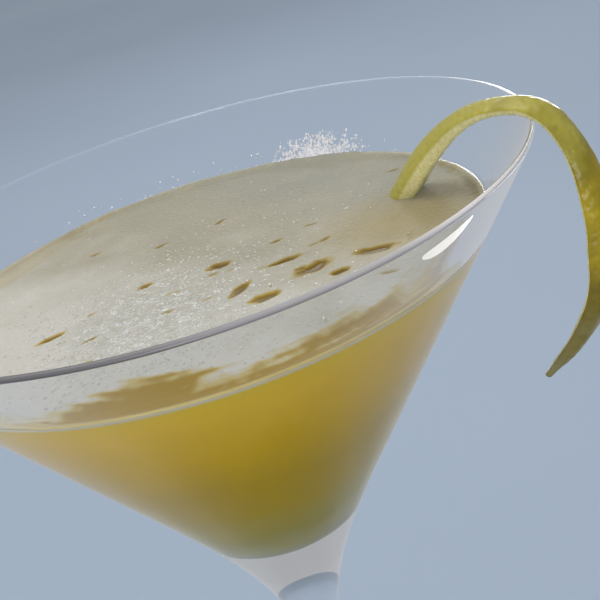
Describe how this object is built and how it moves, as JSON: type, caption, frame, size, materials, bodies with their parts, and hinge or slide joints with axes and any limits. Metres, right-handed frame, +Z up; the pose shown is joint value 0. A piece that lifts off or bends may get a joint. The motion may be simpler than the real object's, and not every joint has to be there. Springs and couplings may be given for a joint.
{
  "type": "lemon cocktail in a stemmed cone glass",
  "caption": "Cloudy yellow lemon cocktail with froth in a clear stemmed cone glass, with a twist of lemon peel hooked over the rim.",
  "frame": {"origin": "centre of the flat underside of the glass's foot", "axes": "+Z up along the stem, +X towards the side where the peel hangs, -Y towards the viewer of the picture"},
  "size_m": [0.1131, 0.1094, 0.1753],
  "materials": {
    "glass": "clear fire-polished drinking glass",
    "drink": "cloudy yellow lemon drink, wet",
    "froth": "pale fine froth with small bubbles",
    "lemon_peel": "pored yellow zest over pale pith"
  },
  "bodies": {
    "root": {"glass": "glass", "drink": "drink", "froth": "froth", "lemon_twist": "lemon_peel"}
  },
  "joints": []
}
